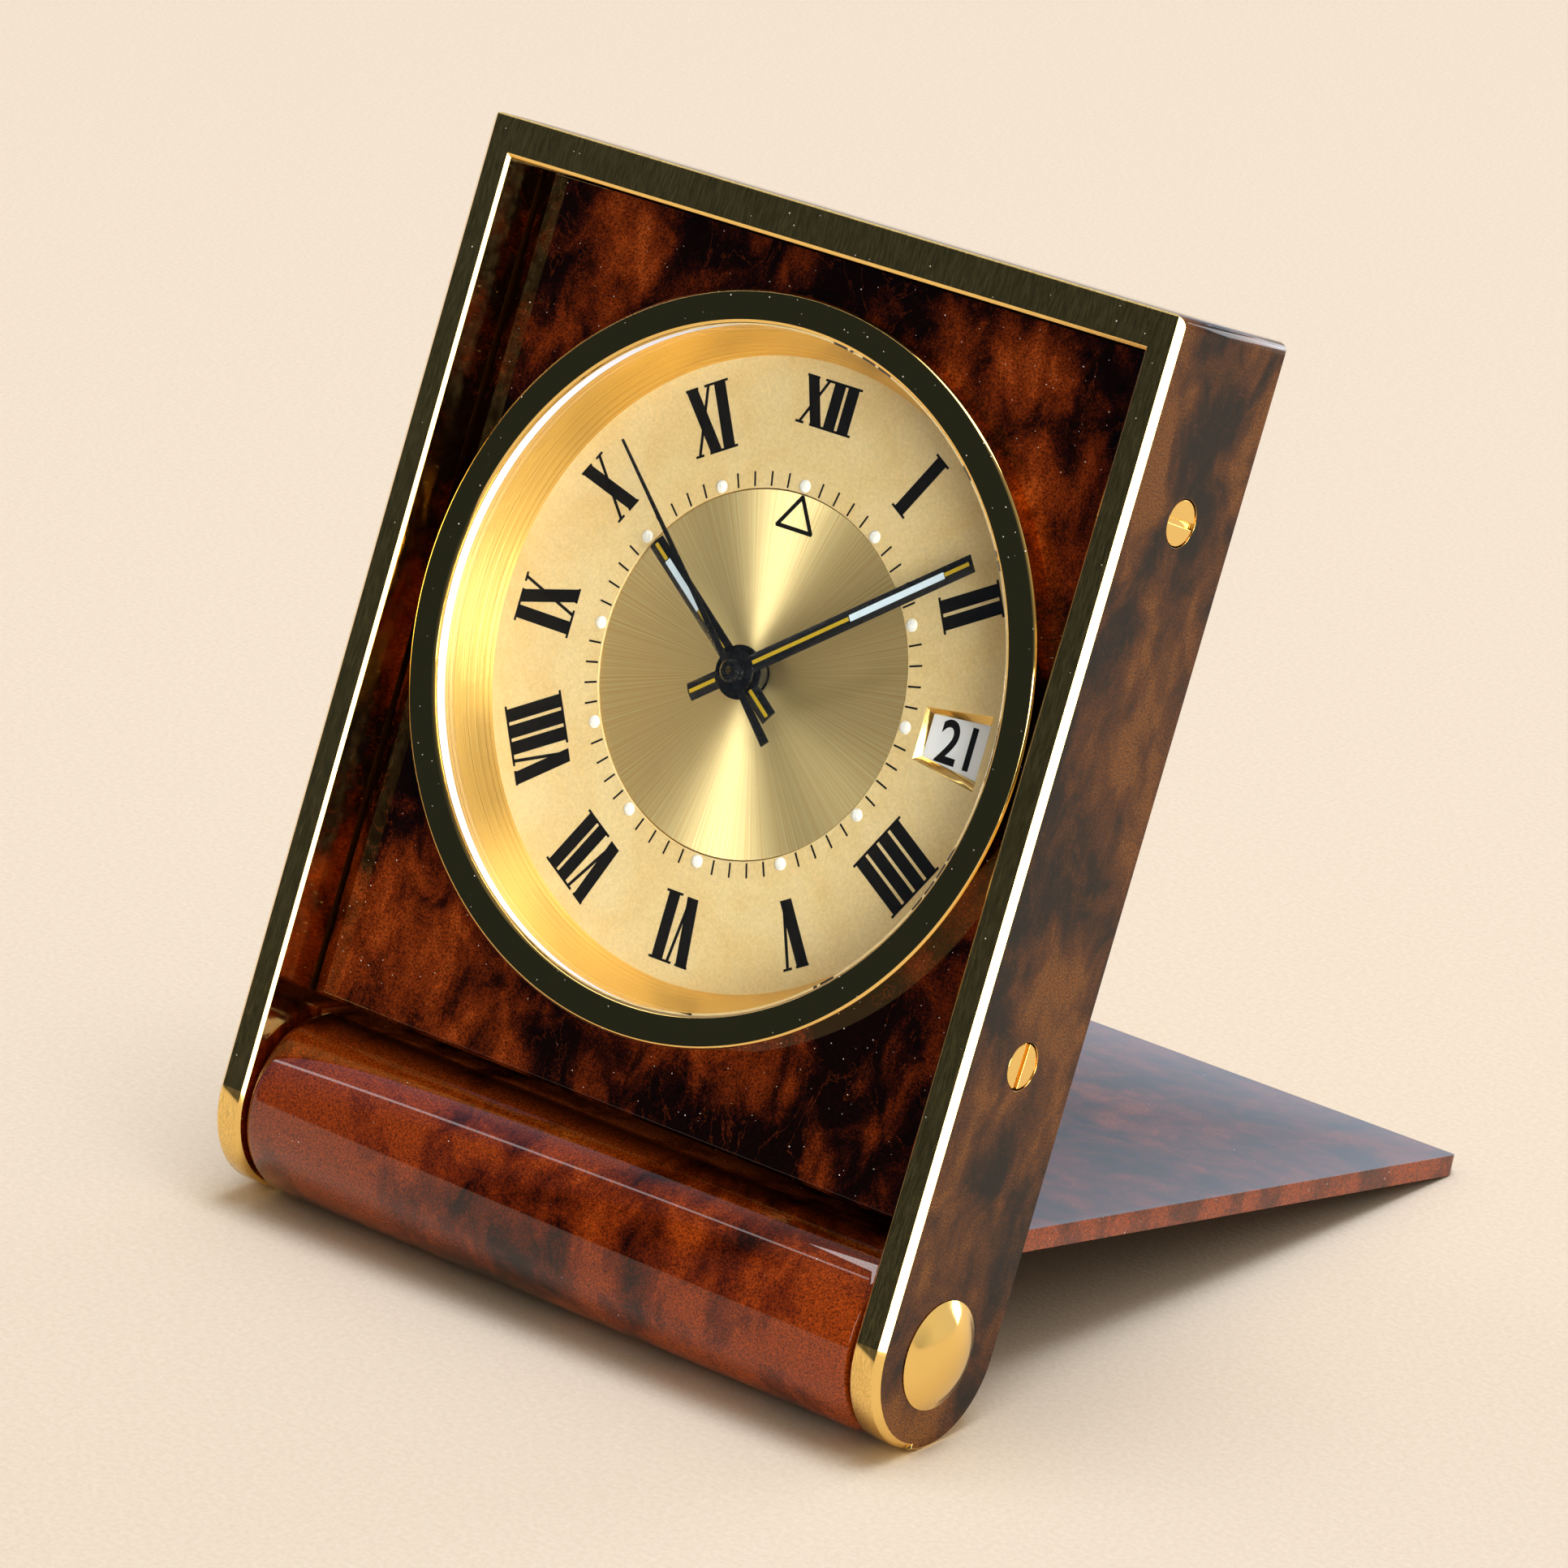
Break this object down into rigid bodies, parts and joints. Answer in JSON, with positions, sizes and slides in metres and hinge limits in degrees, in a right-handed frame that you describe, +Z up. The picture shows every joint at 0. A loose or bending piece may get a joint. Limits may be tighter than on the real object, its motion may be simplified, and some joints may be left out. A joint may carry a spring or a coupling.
{
  "type": "folding travel alarm clock",
  "caption": "Small square travel clock with alarm and date, brass frame and lacquered case, leaning back on the lacquered cover that folds under it as a stand.",
  "frame": {"origin": "centre of the footprint, at table height, with the clock standing open on its cover", "axes": "+Z up, the dial looks towards -Y and leans back, +X to the right of someone looking at the dial"},
  "size_m": [0.0458, 0.0552, 0.0563],
  "materials": {
    "brass": "polished",
    "lacquer": "high gloss mottled lacquer",
    "glass": "clear polished",
    "dial_champagne": "fine-grained champagne",
    "date_white": "matt white",
    "hand_black": "gloss black",
    "luminous": "matt luminous",
    "gilt": "matt gilt",
    "steel": "polished",
    "crown_gilt": "gilt fluted"
  },
  "bodies": {
    "clock": {"frame": "brass", "case_body": "lacquer", "side_screws": "brass", "hinge_studs": "brass", "friction_washers": "steel", "bezel": "brass", "crystal": "glass", "rehaut": "brass", "dial": "dial_champagne", "movement_ring": "gilt", "main_plate": "gilt", "barrel_bridge": "gilt", "train_bridge": "gilt", "alarm_bridge": "gilt", "balance_cock": "gilt", "case_back": "brass", "gong_pin": "steel"},
    "cover": {"cover": "lacquer", "barrel_bushes": "gilt"},
    "seconds": {"fourth_wheel": "gilt", "seconds_hand": "hand_black"},
    "minutes": {"centre_wheel": "gilt", "cannon_pinion": "steel", "minute_hand": "hand_black", "minute_hand_insert": "luminous"},
    "hours": {"hour_wheel": "gilt", "hour_hand": "hand_black", "hour_hand_insert": "luminous"},
    "minute_wheel": {"minute_wheel": "gilt"},
    "third_wheel": {"third_wheel": "gilt"},
    "escape_wheel": {"escape_wheel": "steel"},
    "pallet_fork": {"pallet_fork": "steel"},
    "balance": {"balance_wheel": "gilt"},
    "going_barrel": {"mainspring_barrel": "gilt"},
    "going_ratchet": {"going_ratchet_wheel": "steel"},
    "alarm_barrel": {"alarm_barrel": "gilt"},
    "alarm_ratchet": {"alarm_ratchet_wheel": "steel"},
    "strike_wheel": {"strike_wheel": "gilt"},
    "hammer": {"alarm_hammer": "steel"},
    "date": {"date_ring": "date_white"},
    "alarm_setting": {"alarm_disc": "dial_champagne", "alarm_wheel": "gilt"},
    "time_stem": {"time_stem": "steel"},
    "time_crown": {"time_crown": "crown_gilt"},
    "alarm_stem": {"alarm_stem": "steel"},
    "alarm_crown": {"alarm_crown": "crown_gilt"}
  },
  "joints": [
    {"name": "cover_hinge", "type": "hinge", "parent": "clock", "child": "cover", "pos_m": [0, -0.02265, 0.00495], "axis": [1, 0, 0], "range_deg": [-278.25, 0]},
    {"name": "seconds_turn", "type": "hinge", "parent": "clock", "child": "seconds", "pos_m": [0, -0.01409, 0.03248], "axis": [0, 0.9496, -0.3134], "continuous": true},
    {"name": "minutes_turn", "type": "hinge", "parent": "clock", "child": "minutes", "pos_m": [0, -0.01409, 0.03248], "axis": [0, 0.9496, -0.3134], "continuous": true},
    {"name": "hours_turn", "type": "hinge", "parent": "clock", "child": "hours", "pos_m": [0, -0.01409, 0.03248], "axis": [0, 0.9496, -0.3134], "continuous": true},
    {"name": "minute_wheel_turn", "type": "hinge", "parent": "clock", "child": "minute_wheel", "pos_m": [0.00221, -0.01055, 0.03364], "axis": [0, 0.9496, -0.3134], "continuous": true},
    {"name": "third_wheel_turn", "type": "hinge", "parent": "clock", "child": "third_wheel", "pos_m": [-0.00284, -0.01251, 0.02769], "axis": [0, 0.9496, -0.3134], "continuous": true},
    {"name": "escape_wheel_turn", "type": "hinge", "parent": "clock", "child": "escape_wheel", "pos_m": [0.00448, -0.01192, 0.02947], "axis": [0, 0.9496, -0.3134], "continuous": true},
    {"name": "pallet_fork_rock", "type": "hinge", "parent": "clock", "child": "pallet_fork", "pos_m": [0.00735, -0.0116, 0.03045], "axis": [0, 0.9496, -0.3134], "range_deg": [-6, 6]},
    {"name": "balance_swing", "type": "hinge", "parent": "clock", "child": "balance", "pos_m": [0.0109, -0.01124, 0.03154], "axis": [0, 0.9496, -0.3134], "range_deg": [-270, 270], "stiffness_Nm_per_rad": 0.00000008},
    {"name": "going_barrel_turn", "type": "hinge", "parent": "clock", "child": "going_barrel", "pos_m": [-0.00136, -0.00883, 0.03885], "axis": [0, 0.9496, -0.3134], "continuous": true},
    {"name": "going_ratchet_turn", "type": "hinge", "parent": "clock", "child": "going_ratchet", "pos_m": [-0.00136, -0.00883, 0.03885], "axis": [0, 0.9496, -0.3134], "continuous": true},
    {"name": "alarm_barrel_turn", "type": "hinge", "parent": "clock", "child": "alarm_barrel", "pos_m": [0.0039, -0.01439, 0.022], "axis": [0, 0.9496, -0.3134], "continuous": true},
    {"name": "alarm_ratchet_turn", "type": "hinge", "parent": "clock", "child": "alarm_ratchet", "pos_m": [0.0039, -0.01439, 0.022], "axis": [0, 0.9496, -0.3134], "continuous": true},
    {"name": "strike_wheel_turn", "type": "hinge", "parent": "clock", "child": "strike_wheel", "pos_m": [-0.0004, -0.01451, 0.02164], "axis": [0, 0.9496, -0.3134], "continuous": true},
    {"name": "hammer_rock", "type": "hinge", "parent": "clock", "child": "hammer", "pos_m": [-0.0064, -0.01415, 0.02271], "axis": [0, 0.9496, -0.3134], "range_deg": [0, 6]},
    {"name": "date_turn", "type": "hinge", "parent": "clock", "child": "date", "pos_m": [0, -0.01409, 0.03248], "axis": [0, 0.9496, -0.3134], "continuous": true},
    {"name": "alarm_setting_turn", "type": "hinge", "parent": "clock", "child": "alarm_setting", "pos_m": [0, -0.01409, 0.03248], "axis": [0, 0.9496, -0.3134], "continuous": true},
    {"name": "time_stem_pull", "type": "slide", "parent": "clock", "child": "time_stem", "axis": [0.9063, -0.1325, -0.4013], "range_m": [0, 0.0008]},
    {"name": "time_crown_turn", "type": "hinge", "parent": "time_stem", "child": "time_crown", "pos_m": [0.01767, -0.01357, 0.02363], "axis": [0.9063, -0.1325, -0.4013], "continuous": true},
    {"name": "alarm_stem_pull", "type": "slide", "parent": "clock", "child": "alarm_stem", "axis": [0.9063, 0.1325, 0.4013], "range_m": [0, 0.0008]},
    {"name": "alarm_crown_turn", "type": "hinge", "parent": "alarm_stem", "child": "alarm_crown", "pos_m": [0.01767, -0.0084, 0.03928], "axis": [0.9063, 0.1325, 0.4013], "continuous": true}
  ],
  "couplings": [
    {"joint": "minutes_turn", "follows": "seconds_turn", "ratio": 0.016667},
    {"joint": "hours_turn", "follows": "seconds_turn", "ratio": 0.0013889},
    {"joint": "minute_wheel_turn", "follows": "seconds_turn", "ratio": -0.0055556},
    {"joint": "third_wheel_turn", "follows": "seconds_turn", "ratio": -0.13333},
    {"joint": "escape_wheel_turn", "follows": "seconds_turn", "ratio": -10},
    {"joint": "going_barrel_turn", "follows": "seconds_turn", "ratio": -0.0027778},
    {"joint": "strike_wheel_turn", "follows": "alarm_barrel_turn", "ratio": -5},
    {"joint": "going_ratchet_turn", "follows": "time_crown_turn", "ratio": -0.4},
    {"joint": "alarm_ratchet_turn", "follows": "alarm_crown_turn", "ratio": -0.4}
  ]
}
